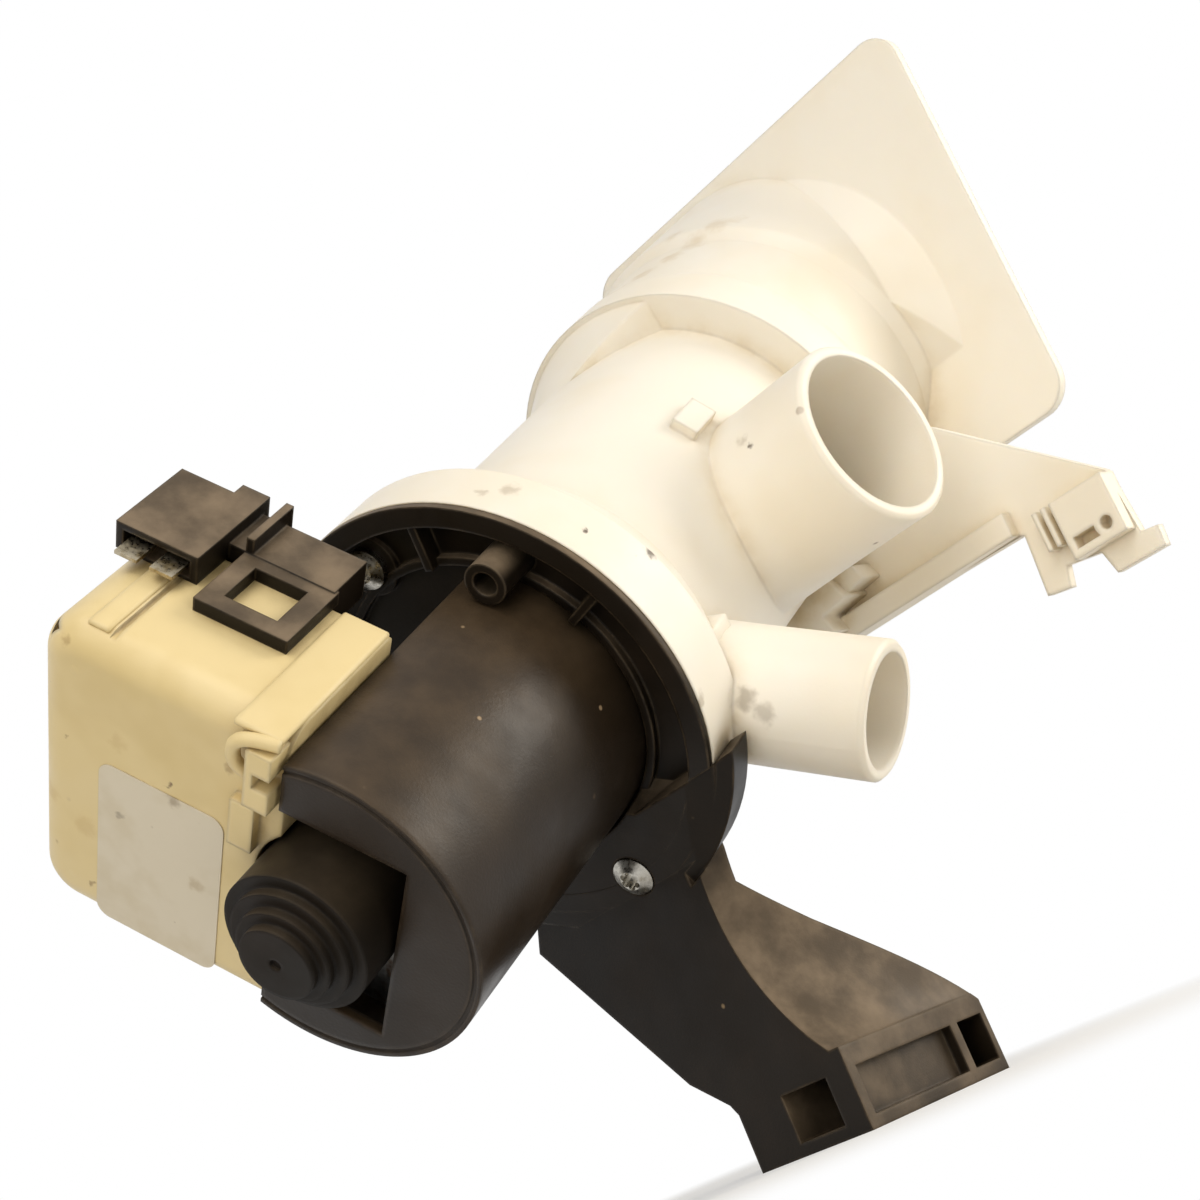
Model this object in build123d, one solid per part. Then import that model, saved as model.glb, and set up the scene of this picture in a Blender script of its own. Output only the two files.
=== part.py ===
from build123d import *
from math import cos, radians, sin
import os

# Washer drain pump, in millimetres and degrees.
# The wet end is drawn about its own axis: +Z runs from the motor to the front plate, +X towards the pump's
# right side and +Y up. Stations are heights along that axis. The motor is drawn in the same frame, turned by
# motor_roll. At the end everything is tilted so that the front plate stands upright and faces -Y, with the
# origin where the pump axis meets the front face of that plate.

# Whole pump
plate_tilt = 28.75
motor_roll = -121.0
overrun = 1.0
seat_gap = 0.3
running_gap = 0.05

# Flange and its seat in the housing
flange_rear = 4.9
rim_radius = 48.0
lip_depth = 1.6
lip_reveal = 0.2
socket_wall = 2.1
dish_wall = 2.3
dish_depth = 6.1
dish_floor = 3.0
gasket_thickness = 1.2
hub_rise = 1.8

# Filter housing
rim_length = 13.5
slope_length = 12.6
slope_drop = 9.0
barrel_radius = 37.5
barrel_front = 109.0
volute_wall = 3.0
barrel_wall = 2.5
volute_depth = 26.8
divider_wall = 2.5
eye_radius = 13.0
mid_radius = 45.5
mid_wall = 2.4
step_wall = 2.5
chamfer_station = 142.6
chamfer_depth = 4.1
chamfer_rise = 2.0
crease_station = 123.0
crease_length = 2.0
crease_rise = 0.6
hood_rear = 90.0
hood_front = 111.0
hood_point_x = -18.2
hood_point_y = -32.8
hood_point_z = 107.0
hood_lean_shares = (-0.54, 0.54, 0.64)

# Front plate
plate_station = 157.0
plate_thickness = 2.5
plate_up = 56.2
plate_down = 46.5
plate_left = 73.0
plate_right = 41.0
plate_corner = 8.0
collar_radius = 53.5
collar_left = 3.5
collar_drop = 4.3
collar_depth = 14.0
collar_slope = 1.05
lobe_margin = 2.0

# Inlet and outlet spigots
inlet_station = 78.0
inlet_drop = 11.0
inlet_reach = 65.0
inlet_radius = 20.4
inlet_wall = 2.6
inlet_straight = 22.0
outlet_station = 30.0
outlet_angle = -142.0
outlet_shift = 3.5
outlet_reach = 74.4
outlet_radius = 13.9
outlet_root = 14.8
outlet_wall = 2.4
outlet_straight = 26.0
lip_round = 0.8

# Side arm, in the upright frame: x right, y up, z forward
arm_front = 114.8
arm_wall = 2.2
arm_reach = 91.0
arm_outline_shares = ((-0.33, 0.549), (-0.576, 0.376), (-0.946, 0.049), (-0.956, -0.116), (-1.001, -0.122),
                      (-0.996, -0.173), (-0.859, -0.171), (-0.844, -0.111), (-0.746, -0.095),
                      (-0.732, -0.145), (-0.666, -0.134), (-0.681, 0.022), (-0.107, 0.034),
                      (-0.044, 0.044), (-0.044, 0.242))
arm_rail_left = -61.0
arm_rail_right = -4.0
arm_rail_low = 2.4
arm_rail_high = 8.0
arm_rail_rise = 3.0
clip_left = -86.4
clip_right = -72.4
clip_low = -9.4
clip_high = 4.0
clip_rise = 3.4
clip_wall = 1.8
clip_rib_wall = 1.2
clip_rib_length = 9.0
clip_eye = 3.0

# Ribs on the barrel
rib_angle = 158.0
rib_station = 79.0
rib_length = 10.0
rib_width = 6.0
rib_height = 2.2

# Foot, in the upright frame
web_rear = 26.9
web_wall = 3.0
foot_wall = 2.6
foot_height = 98.0
foot_middle_x = -6.0
foot_middle_y = -60.0
foot_hollow_shares = (0.86, 0.92)
foot_right_shares = ((-0.316, -0.862), (-0.306, -0.898), (-0.01, -0.898), (0.013, -0.856), (0.098, -0.787),
                     (0.38, -0.403), (0.316, -0.27), (-0.165, -0.27), (-0.165, -0.388))
waist_x = -18.6
waist_y = -66.0
flare_x = -31.0
brace_top = -45.0
brace_rear = 33.5
brace_bend = -57.0
brace_middle = 44.5
brace_inner = -12.0
base_left = -31.0
base_right = 0.0
base_top = -84.5
base_front = 71.0
sole_thickness = 2.5
slot_depth = 34.0
slot_left = -25.0
slot_right = -12.5
slot_roof = 1.6
pocket_depth = 2.6
pocket_length = 30.0
window_length = 8.0
window_wall = 2.2

# Pad on the flange above the foot
pad_rear = 5.0
pad_inner_x = -7.9
pad_inner_y = -29.7
pad_outer_x = -22.0
pad_outer_y = -39.6
pad_slope = 7.5
shell_radius = 52.0
shell_top = -32.5
shell_right = 37.0
cheek_lean = 0.22
cheek_x = -0.775
cheek_y = -0.631

# Dish ribs and hose-clip boss
dish_rib_wall = 1.8
dish_rib_angles = (171.0, 116.0, 10.0, -30.0)
boss_radius = 4.4
boss_bore = 2.5
boss_reach = 37.5
boss_angle = 144.5
boss_rear = -1.0

# Screws
screw_head_radius = 4.4
screw_head_height = 2.8
screw_shank_radius = 1.95
screw_length = 13.0
screw_lobe_radius = 0.75
screw_lobe_reach = 1.45
screw_socket_depth = 1.5
screw_hole_gap = 0.15
screw_pad_radius = 6.6
upper_screw_reach = 38.0
lower_screw_reach = 43.3
side_screw_reach = 41.0
upper_screw_angle = 90.0
lower_screw_angle = -90.0
side_screw_angle = 5.0
upper_screw_seat = 9.6
lower_screw_seat = 6.1

# Rotor can and what it holds
can_radius = 14.5
can_wall = 1.5
can_rear = -64.4
can_collar_radius = 19.0
can_collar_wall = 2.0
can_step_radius_shares = (0.83, 0.66, 0.52)
can_step_depth = 2.0
can_pocket_radius = 8.0
can_pocket_rear = -66.8
can_floor = -62.0
can_dimple_radius = 1.2
can_dimple_depth = 0.8
seal_ring_radius = 0.9
shaft_radius = 2.0
shaft_rear = -66.2
shaft_front = 23.6
bearing_radius = 4.6
rear_bearing_length = 5.2
cushion_length = 4.4
holder_rear = 3.0
holder_length = 11.5
holder_web = 8.0
seal_radius = 6.5
seal_length = 3.0
magnet_radius = 11.6
magnet_rear = -56.0
magnet_length = 36.0

# Impeller and its driver
dog_radius = 4.1
dog_reach = 6.2
dog_sweep = 50.0
dog_length = 4.6
dog_gap = 0.35
impeller_rear = 17.0
hub_outer = 9.0
hub_bore = 6.6
hub_roof = 1.8
stop_root = 4.6
stop_sweep = 50.0
blade_count = 8
blade_reach = 20.0
blade_wall = 1.8
blade_height = 12.0
back_disc_radius = 13.0
back_disc_wall = 1.4

# Filter basket and cap
basket_radius = 33.4
basket_wall = 1.8
basket_rear = 46.0
basket_front = 109.5
basket_slot_count = 14
basket_slot_width = 3.2
basket_slot_margin = 6.0
basket_end_slot_count = 10
basket_end_slot_inner = 9.0
basket_window_radius = 16.0
basket_hole = 6.4
stem_gap = 0.3
stem_snap = 1.4
stem_snap_length = 3.0
cap_radius = 40.8
cap_rear = 112.4
cap_front = 131.0
cap_wall = 2.6
cap_seal_station = 126.5
cap_seal_section = 1.7
cap_lug_count = 4
cap_lug_sweep = 34.0
cap_lug_rear = 114.2
cap_lug_length = 3.4
housing_lug_sweep = 34.0
housing_lug_length = 3.2
lug_gap = 0.4
lug_turn = 45.0
grip_length = 66.0
grip_wall = 9.0
grip_height = 19.0

# Motor, in its own turned frame
cover_radius = 32.5
cover_wall = 2.2
cover_flat = -10.0
cover_rear = -56.6
cover_window_right = 15.4
cover_window_low = -20.2
cover_window_high = 22.6
cover_line_inset = 0.9
cover_line_depth = 0.4
coil_left = -63.4
coil_right = -10.5
coil_low = -35.0
coil_high = 35.3
coil_rear = -54.0
coil_front = -21.0
coil_edge_round = 6.0
coil_corner_round = 9.0
coil_front_round = 1.5
coil_wall = 2.2
coil_groove_x = -49.5
coil_groove_width = 1.2
coil_groove_depth = 0.8
coil_groove_front = -26.5
leg_inner = 17.0
leg_width = 10.0
stack_rear = -47.0
stack_depth = 19.0
yoke_left = -59.5
yoke_width = 9.0
pole_right = 16.0
pole_inner = 12.0
pole_bore = 15.3
pole_outer = 29.8
core_gap = 0.2
bobbin_wall = 1.0
bobbin_flange = 1.2
bobbin_left = -49.8
bobbin_right = -14.0
winding_build = 3.2
label_left = -49.0
label_right = -22.0
label_low = -7.5
label_high = 33.3
label_thickness = 0.2
label_round = 3.0
hook_left = -16.0
hook_right = -11.0
hook_low = -33.0
hook_high = -20.0
hook_slit = 1.6
hook_rise = 5.0
tab_left = -20.0
tab_right = -15.0
tab_low = -17.0
tab_high = -6.0
tab_rise = 2.4

# Terminal housing, in the motor frame
shroud_left = -63.2
shroud_right = -45.6
shroud_top = -41.2
shroud_mouth = -31.0
shroud_end = -11.0
shroud_low = -27.0
shroud_wall = 1.5
shroud_side_wall = 1.6
shroud_back_end = -8.0
shroud_back_width = 6.0
deck_left = -46.0
deck_right = -23.0
deck_top = -38.4
deck_low = -30.0
deck_end = -10.0
fin_left = -42.0
fin_right = -40.4
fin_top = -41.6
fin_end = -8.0
latch_left = -42.2
latch_right = -22.6
latch_rear = -37.0
latch_thickness = 3.0
latch_window_left = -38.2
latch_window_right = -27.0
latch_window_rear = -33.4
latch_window_front = -23.5
bridge_left = -33.5
bridge_right = -27.5
bridge_low = -27.5
blade_width = 4.8
blade_thickness = 0.8
blade_rear = -35.0
blade_first = -58.2
blade_second = -50.6

# Places that follow from the sizes above
tilt_cos = cos(radians(plate_tilt))
tilt_sin = sin(radians(plate_tilt))
socket_rear = flange_rear + lip_depth
socket_radius = rim_radius + lip_reveal - socket_wall
spigot_radius = socket_radius - seat_gap
dish_radius = spigot_radius - dish_wall
floor_rear = flange_rear + dish_depth
floor_front = floor_rear + dish_floor
shelf_station = floor_front + gasket_thickness
rim_end = socket_rear + rim_length
slope_end = rim_end + slope_length
volute_radius = barrel_radius - volute_wall
trap_radius = barrel_radius - barrel_wall
divider_rear = shelf_station + volute_depth
divider_front = divider_rear + divider_wall
cap_bore = mid_radius - mid_wall
neck_radius = mid_radius + chamfer_rise
plate_front_station = plate_station + plate_thickness / tilt_cos
plate_z = plate_station * tilt_cos
plate_axis_y = plate_station * tilt_sin
can_inner = can_radius - can_wall
collar_front = floor_front + can_collar_wall
stack_front = stack_rear + stack_depth
magnet_front = magnet_rear + magnet_length
impeller_front = impeller_rear + blade_height
dog_rear = impeller_rear + dog_gap
hub_inside = dog_rear + dog_length + dog_gap
housing_lug_rear = cap_lug_rear + cap_lug_length + lug_gap
far = plate_station + plate_left
screw_places = ((upper_screw_reach, upper_screw_angle, upper_screw_seat),
                (lower_screw_reach, lower_screw_angle, lower_screw_seat),
                (side_screw_reach, side_screw_angle, upper_screw_seat))

# Frames: pump to machine, upright (front plate square) to pump, and motor to pump
PUMP = Pos(0, plate_front_station * tilt_cos, -plate_front_station * tilt_sin) * Rot(90 - plate_tilt, 0, 0)
UPRIGHT = Rot(plate_tilt, 0, 0)
MOTOR = Rot(0, 0, motor_roll)
FROM_BASE = (Align.CENTER, Align.CENTER, Align.MIN)
FROM_CORNER = (Align.MIN, Align.MIN, Align.MIN)


def rod(radius, start, end):
    """A cylinder about the axis between two stations."""
    return Pos(0, 0, start) * Cylinder(radius, end - start, align=FROM_BASE)


def ring(outer, inner, start, end):
    """A tube about the axis between two stations."""
    return rod(outer, start, end) - rod(inner, start - overrun, end + overrun)


def slab(left, right, low, high, start, end):
    """A box between low and high values on X, Y and Z."""
    return Pos(left, low, start) * Box(right - left, high - low, end - start, align=FROM_CORNER)


def turned(points):
    """A solid of revolution from (radius, station) points."""
    return revolve(Plane.XZ * make_face(Polyline(*points, close=True)), Axis.Z)


def outline(shares, size):
    """The (x, y) points of a table of shares."""
    return [(x * size, y * size) for x, y in shares]


def prism(points, start, end):
    """A flat outline of (x, y) points raised between two heights."""
    return extrude(Pos(0, 0, start) * make_face(Polyline(*points, close=True)), end - start)


def on_circle(radius, angle):
    """The (x, y) place at a radius and an angle about the axis."""
    return radius * cos(radians(angle)), radius * sin(radians(angle))


def sector(outer, inner, sweep, middle, start, end):
    """Part of a ring, centred on an angle."""
    edge = [on_circle(2 * outer, middle + share * sweep) for share in (-0.5, -0.25, 0, 0.25, 0.5)]
    return ring(outer, inner, start, end) & prism([(0, 0), *edge], start, end)


def around(count, first=0.0):
    """Evenly spaced angles."""
    return [first + 360.0 * step / count for step in range(count)]


def largest(shape):
    """The biggest solid of a shape, which drops loose chips left by a cut."""
    return max(shape.solids(), key=lambda solid: solid.volume)


def half_space(plane):
    """The side of a plane that its normal points to."""
    return plane * Box(2 * far, 2 * far, far, align=FROM_BASE)


def spigot_outer(radius, root_radius, straight, reach):
    """A hose spigot along +Z: a tapered root, a straight end and a rounded lip."""
    return turned([(0, 0), (root_radius, 0), (radius, reach - straight), (radius, reach - lip_round),
                   (radius - lip_round, reach), (0, reach)])


def plate_sheet():
    """The upright front plate with the round lobe that surrounds its opening."""
    middle_x = (plate_right - plate_left) / 2
    middle_y = plate_axis_y + (plate_up - plate_down) / 2
    sheet = RectangleRounded(plate_left + plate_right, plate_up + plate_down, plate_corner)
    sheet = Pos(middle_x, middle_y) * sheet
    sheet += Pos(-collar_left, plate_axis_y - collar_drop) * Circle(collar_radius + lobe_margin)
    return extrude(Pos(0, 0, plate_z) * sheet, plate_thickness)


def collar():
    """The flared neck that joins the filter chamber to the front plate, square to the plate."""
    flare = Cone(collar_radius - collar_depth * collar_slope, collar_radius, collar_depth, align=FROM_BASE)
    place = UPRIGHT * Pos(-collar_left, plate_axis_y - collar_drop, plate_z - collar_depth)
    return place * flare & rod(plate_left, chamfer_station + chamfer_depth, far)


def hood():
    """The raised shoulder on the barrel's upper left side."""
    cone = turned([(0, hood_rear), (barrel_radius, hood_rear), (mid_radius, hood_front), (0, hood_front)])
    side = Plane(origin=(hood_point_x, hood_point_y, hood_point_z), z_dir=hood_lean_shares)
    return MOTOR * (cone & half_space(side))


def arm():
    """The flat side arm with its rail and the clip at its end, in the upright frame."""
    rear = arm_front - arm_wall
    clip_rear = rear - clip_rise
    shape = prism(outline(arm_outline_shares, arm_reach), rear, arm_front)
    shape += slab(arm_rail_left, arm_rail_right, arm_rail_low, arm_rail_high, rear - arm_rail_rise,
                  arm_front)
    shape += slab(clip_left, clip_right, clip_low, clip_high, clip_rear, arm_front)
    rib_low = clip_high - clip_rib_length
    shape -= slab(clip_left + clip_wall, clip_right - clip_wall, clip_low + clip_wall, rib_low,
                  clip_rear - overrun, rear)
    for step in (1, 3):
        start = clip_right + step * clip_rib_wall
        shape += slab(start, start + clip_rib_wall, rib_low, clip_high, clip_rear, arm_front)
    eye = Pos(clip_left + 2 * clip_wall, clip_low + 2 * clip_wall, 0)
    shape += eye * rod(clip_eye, clip_rear, arm_front)
    return shape - eye * rod(clip_eye / 2, clip_rear - overrun, rear)


INLET = Pos(0, -inlet_drop, inlet_station) * Rot(0, -90, 0)
OUTLET = Pos(0, 0, outlet_station) * Rot(0, 0, outlet_angle) * Pos(0, outlet_shift, 0) * Rot(0, 90, 0)


def make_trap_housing():
    """White moulding: pump chamber, filter chamber, two spigots, arm and front plate."""
    rim_outer = rim_radius + lip_reveal
    shape = turned([(0, socket_rear), (rim_outer, socket_rear), (rim_outer, rim_end),
                    (rim_outer - slope_drop, slope_end), (barrel_radius, slope_end + lip_reveal),
                    (barrel_radius, barrel_front), (mid_radius + crease_rise, barrel_front),
                    (mid_radius + crease_rise, crease_station - crease_length), (mid_radius, crease_station),
                    (mid_radius, chamfer_station), (neck_radius, chamfer_station + chamfer_depth),
                    (neck_radius, far), (0, far)])
    shape += hood()
    shape += collar()
    shape += INLET * spigot_outer(inlet_radius, inlet_radius + lip_round, inlet_straight, inlet_reach)
    shape += OUTLET * spigot_outer(outlet_radius, outlet_root, outlet_straight, outlet_reach)
    shape += UPRIGHT * arm()
    rib = slab(-rib_width / 2, rib_width / 2, 0, barrel_radius + rib_height, rib_station - rib_length,
               rib_station)
    shape += Rot(0, 0, rib_angle - 90) * rib
    shape -= UPRIGHT * half_space(Plane(origin=(0, plate_axis_y, plate_z)))
    shape += UPRIGHT * plate_sheet()
    shape -= rod(socket_radius, socket_rear - overrun, shelf_station)
    shape -= rod(volute_radius, shelf_station - overrun, divider_rear)
    shape -= rod(eye_radius, divider_rear - overrun, divider_front + overrun)
    shape -= rod(trap_radius, divider_front, barrel_front + step_wall + overrun)
    shape -= rod(cap_bore, barrel_front + step_wall, far)
    shape -= INLET * rod(inlet_radius - inlet_wall, 0, inlet_reach + overrun)
    shape -= OUTLET * rod(outlet_radius - outlet_wall, 0, outlet_reach + overrun)
    lug_inner = cap_radius + seat_gap
    lug_outer = cap_bore + barrel_wall / 2
    for angle in around(cap_lug_count, lug_turn):
        shape += sector(lug_outer, lug_inner, housing_lug_sweep, angle, housing_lug_rear,
                        housing_lug_rear + housing_lug_length)
    for reach, angle, seat in screw_places:
        x, y = on_circle(reach, angle)
        shape -= Pos(x, y) * rod(screw_shank_radius + screw_hole_gap, 0, seat + screw_length + overrun)
    return largest(shape)


def drawn_in(point, shares):
    """A point moved towards the foot's middle, to the given shares of its distance across and up."""
    x, y = point
    share_x, share_y = shares
    return foot_middle_x + (x - foot_middle_x) * share_x, foot_middle_y + (y - foot_middle_y) * share_y


def foot_section(waisted, shares, height):
    """A level cut of the foot: waisted on its left side, or straight where it has flared out."""
    points = outline(foot_right_shares, foot_height)
    if waisted:
        middle = (waist_x, waist_y)
    else:
        points[-2:] = [(flare_x, y) for x, y in points[-2:]]
        middle = (flare_x, waist_y)
    points = [drawn_in(point, shares) for point in points]
    end = points[0]
    if waisted:
        side = ThreePointArc(points[-1], drawn_in(middle, shares), end)
    else:
        side = Line(points[-1], end)
    return Pos(0, 0, height) * make_face(Polyline(*points) + side)


def brace_line():
    """The sloping front edge of the foot's side, as (y, z) points from its top to the base."""
    return [(brace_top, brace_rear), (brace_bend, brace_middle), (base_top, base_front + overrun)]


def across(points, left, right):
    """An outline of (y, z) points drawn out along X."""
    return extrude(Plane.YZ.offset(left) * make_face(Polyline(*points, close=True)), right - left)


def foot_limits():
    """The space in front of the foot's sloping edge, and the space that its lower part may fill."""
    top, bend, end = brace_line()
    front = across([(0, brace_rear), top, bend, end, (base_top, far), (0, far)], -far, brace_inner)
    low = across([(brace_bend, 0), bend, end, (-far, base_front + overrun), (-far, 0)], -far, far)
    return front, low


def foot():
    """The foot in the upright frame: a hollow web that flares out to a base with a slot along its sole."""
    whole = (1, 1)
    shell = loft([foot_section(True, whole, web_rear).face(), foot_section(False, whole, base_front).face()],
                 ruled=True)
    shell -= loft([foot_section(True, foot_hollow_shares, web_rear + web_wall).face(),
                   foot_section(False, foot_hollow_shares, base_front + overrun).face()], ruled=True)
    base_bottom = -foot_height
    shape = shell + slab(base_left, base_right, base_bottom, base_top + foot_wall, web_rear, base_front)
    slot_top = base_top - slot_roof
    slot_low = base_bottom + sole_thickness
    window_rear = web_rear + sole_thickness + pocket_length + window_wall
    shape -= slab(slot_left, slot_right, slot_low, slot_top, web_rear - overrun, web_rear + slot_depth)
    shape -= slab(base_left - overrun, base_left + pocket_depth, slot_low, slot_top,
                  web_rear + sole_thickness,
                  web_rear + sole_thickness + pocket_length)
    shape -= slab(base_left - overrun, slot_left + overrun, slot_low, slot_top, window_rear,
                  window_rear + window_length)
    return shape


def pad():
    """The pad on the flange above the foot, with its sloping upper end."""
    run_x = pad_outer_x - pad_inner_x
    run_y = pad_outer_y - pad_inner_y
    side = Plane(origin=(pad_inner_x, pad_inner_y, 0), x_dir=(-run_y, run_x, 0), z_dir=(run_x, run_y, 0))
    wedge = [(0, pad_rear), (rim_radius, pad_rear), (rim_radius, floor_front), (-pad_slope, floor_front)]
    return extrude(side * make_face(Polyline(*wedge, close=True)), rim_radius, both=True)


def make_pump_flange():
    """Black flange, dished towards the motor, with ribs, a clip boss, the pad and the foot."""
    outer = turned([(dish_radius, flange_rear), (rim_radius, flange_rear), (rim_radius, socket_rear),
                    (spigot_radius, socket_rear), (spigot_radius, floor_front), (0, floor_front),
                    (0, floor_rear), (dish_radius, floor_rear)])
    hub_inner = cover_radius + seat_gap
    shape = outer + ring(hub_inner + hub_rise, hub_inner, floor_rear - hub_rise, floor_rear)
    for angle in dish_rib_angles:
        rib = slab(cover_radius + 2 * seat_gap, dish_radius + dish_wall / 2, -dish_rib_wall / 2,
                   dish_rib_wall / 2,
                   flange_rear + hub_rise, floor_rear)
        shape += Rot(0, 0, angle) * rib
    for reach, angle, seat in screw_places:
        x, y = on_circle(reach, angle)
        screw_pad = rod(screw_pad_radius, seat, floor_front)
        shape += Pos(x, y) * screw_pad & rod(dish_radius, floor_rear - far, far)
    boss_x, boss_y = on_circle(boss_reach, boss_angle)
    shape += Pos(boss_x, boss_y) * rod(boss_radius, boss_rear, floor_rear)
    front, low = foot_limits()
    lower = UPRIGHT * (foot() - front) & (rod(far, -far, floor_front) + UPRIGHT * low)
    lower += pad() & rod(dish_radius + dish_wall / 2, pad_rear, floor_front)
    lower += rod(shell_radius, pad_rear, floor_front) & slab(-far, shell_right, -far, shell_top, 0, far)
    lower -= rod(cover_radius + 2 * seat_gap, -far, far)
    lower -= ring(rim_radius + lip_reveal + seat_gap, spigot_radius, socket_rear, far)
    shape += lower
    cheek = Plane(origin=(pad_outer_x, pad_outer_y, pad_rear),
                  z_dir=(cheek_lean * cheek_x, cheek_lean * cheek_y, -1))
    corner = slab(-far, brace_inner, -far, shell_top, 0, far) & rod(shell_radius, 0, far)
    shape -= half_space(cheek) & corner
    shape -= Pos(boss_x, boss_y) * rod(boss_bore, boss_rear - overrun, floor_rear)
    for reach, angle, seat in screw_places:
        x, y = on_circle(reach, angle)
        shape -= Pos(x, y) * rod(screw_shank_radius + screw_hole_gap, flange_rear - rim_radius, far)
        shape -= Pos(x, y) * rod(screw_head_radius + screw_hole_gap, seat - far, seat)
    shape -= rod(can_radius + seat_gap, -far, far)
    seal_middle = (can_radius + can_collar_radius) / 2
    shape -= ring(seal_middle + seal_ring_radius, seal_middle - seal_ring_radius,
                  floor_front - 2 * seal_ring_radius, floor_front + overrun)
    return largest(shape)


def make_flange_screws():
    """Three pan screws with a six-lobe socket."""
    screws = []
    for reach, angle, seat in screw_places:
        x, y = on_circle(reach, angle)
        dome = turned([(0, seat - screw_head_height), (screw_head_radius / 2, seat - screw_head_height),
                       (screw_head_radius, seat - screw_head_height / 2), (screw_head_radius, seat),
                       (0, seat)])
        screw = dome + rod(screw_shank_radius, seat, seat + screw_length)
        top = seat - screw_head_height
        screw -= rod(screw_lobe_reach, top - overrun, top + screw_socket_depth)
        for lobe in around(6):
            lobe_x, lobe_y = on_circle(screw_lobe_reach, lobe)
            screw -= Pos(lobe_x, lobe_y) * rod(screw_lobe_radius, top - overrun, top + screw_socket_depth)
        screws.append(Pos(x, y) * screw)
    return Compound(children=[largest(screw) for screw in screws])


def make_flange_gasket():
    """Flat ring between the flange and the shelf in the housing."""
    return ring(spigot_radius, volute_radius, floor_front, shelf_station) - screw_holes()


def screw_holes():
    """The three clearance holes of the flange screws."""
    holes = [Pos(*on_circle(reach, angle)) * rod(screw_shank_radius + seat_gap, 0, far)
             for reach, angle, seat in screw_places]
    return holes[0] + holes[1] + holes[2]


def make_rotor_can():
    """Blind tube with a stepped closed end and a collar that sits on the flange."""
    points = [(0, can_rear - 3 * can_step_depth)]
    radius = can_radius
    steps = [share * can_radius for share in can_step_radius_shares]
    for count, step_radius in enumerate(reversed(steps)):
        points.append((step_radius, can_rear - (3 - count) * can_step_depth))
        points.append((step_radius, can_rear - (2 - count) * can_step_depth))
    points += [(can_radius, can_rear), (can_radius, floor_front), (can_collar_radius, floor_front),
               (can_collar_radius, collar_front), (0, collar_front)]
    shape = turned(points)
    shape -= rod(can_inner, can_floor, collar_front + overrun)
    shape -= rod(can_pocket_radius, can_pocket_rear, can_floor + overrun)
    shape -= rod(can_dimple_radius, can_rear - 4 * can_step_depth,
                 can_rear - 3 * can_step_depth + can_dimple_depth)
    return shape


def make_can_seal():
    """O-ring between the can's collar and the flange."""
    middle = (can_radius + can_collar_radius) / 2
    return Pos(0, 0, floor_front - seal_ring_radius) * Torus(middle, seal_ring_radius - running_gap)


def make_rear_cushion():
    """Rubber cup round the rear bearing."""
    return ring(can_pocket_radius - running_gap, bearing_radius + running_gap, can_pocket_rear,
                can_pocket_rear + cushion_length)


def make_rear_bearing():
    """Sleeve in the closed end of the can."""
    return ring(bearing_radius, shaft_radius + running_gap, can_pocket_rear,
                can_pocket_rear + rear_bearing_length)


def make_bearing_holder():
    """Plug in the mouth of the can that holds the front bearing and the shaft seal."""
    front = holder_rear + holder_length
    shape = rod(can_inner - running_gap, holder_rear, front)
    shape -= rod(bearing_radius + running_gap, holder_rear - overrun, front + overrun)
    return shape - rod(seal_radius + running_gap, holder_rear + holder_web, front + overrun)


def make_front_bearing():
    """Sleeve in the bearing holder."""
    return ring(bearing_radius, shaft_radius + running_gap, holder_rear, holder_rear + holder_web)


def make_shaft_seal():
    """Lip seal in front of the front bearing."""
    start = holder_rear + holder_web
    return ring(seal_radius, shaft_radius + running_gap, start, start + seal_length)


def make_rotor_magnet():
    """Two-pole magnet on the shaft."""
    return ring(magnet_radius, shaft_radius + running_gap / 2, magnet_rear, magnet_front)


def make_rotor_shaft():
    """Steel shaft through the magnet to the impeller."""
    return rod(shaft_radius, shaft_rear, shaft_front)


def make_drive_dog():
    """Driver on the shaft with one dog that catches the impeller's stop."""
    shape = ring(dog_radius, shaft_radius + running_gap / 2, dog_rear, dog_rear + dog_length)
    return shape + sector(dog_reach, dog_radius - dog_gap, dog_sweep, 0, dog_rear, dog_rear + dog_length)


def make_impeller():
    """Hub with straight blades; its cavity leaves the dog some lost motion."""
    hub_front = hub_inside + hub_roof
    shape = rod(hub_outer, impeller_rear, hub_front)
    shape += rod(back_disc_radius, impeller_rear, impeller_rear + back_disc_wall)
    for angle in around(blade_count):
        blade = slab(hub_bore + dog_gap, blade_reach, -blade_wall / 2, blade_wall / 2, impeller_rear,
                     impeller_front)
        shape += Rot(0, 0, angle) * blade
    shape -= rod(hub_bore, impeller_rear - overrun, hub_inside)
    shape -= rod(shaft_radius + running_gap, impeller_rear, hub_front + overrun)
    stop = sector(hub_bore + dog_gap, stop_root, stop_sweep, 180, impeller_rear + dog_gap,
                  hub_inside + dog_gap)
    return shape + stop


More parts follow.
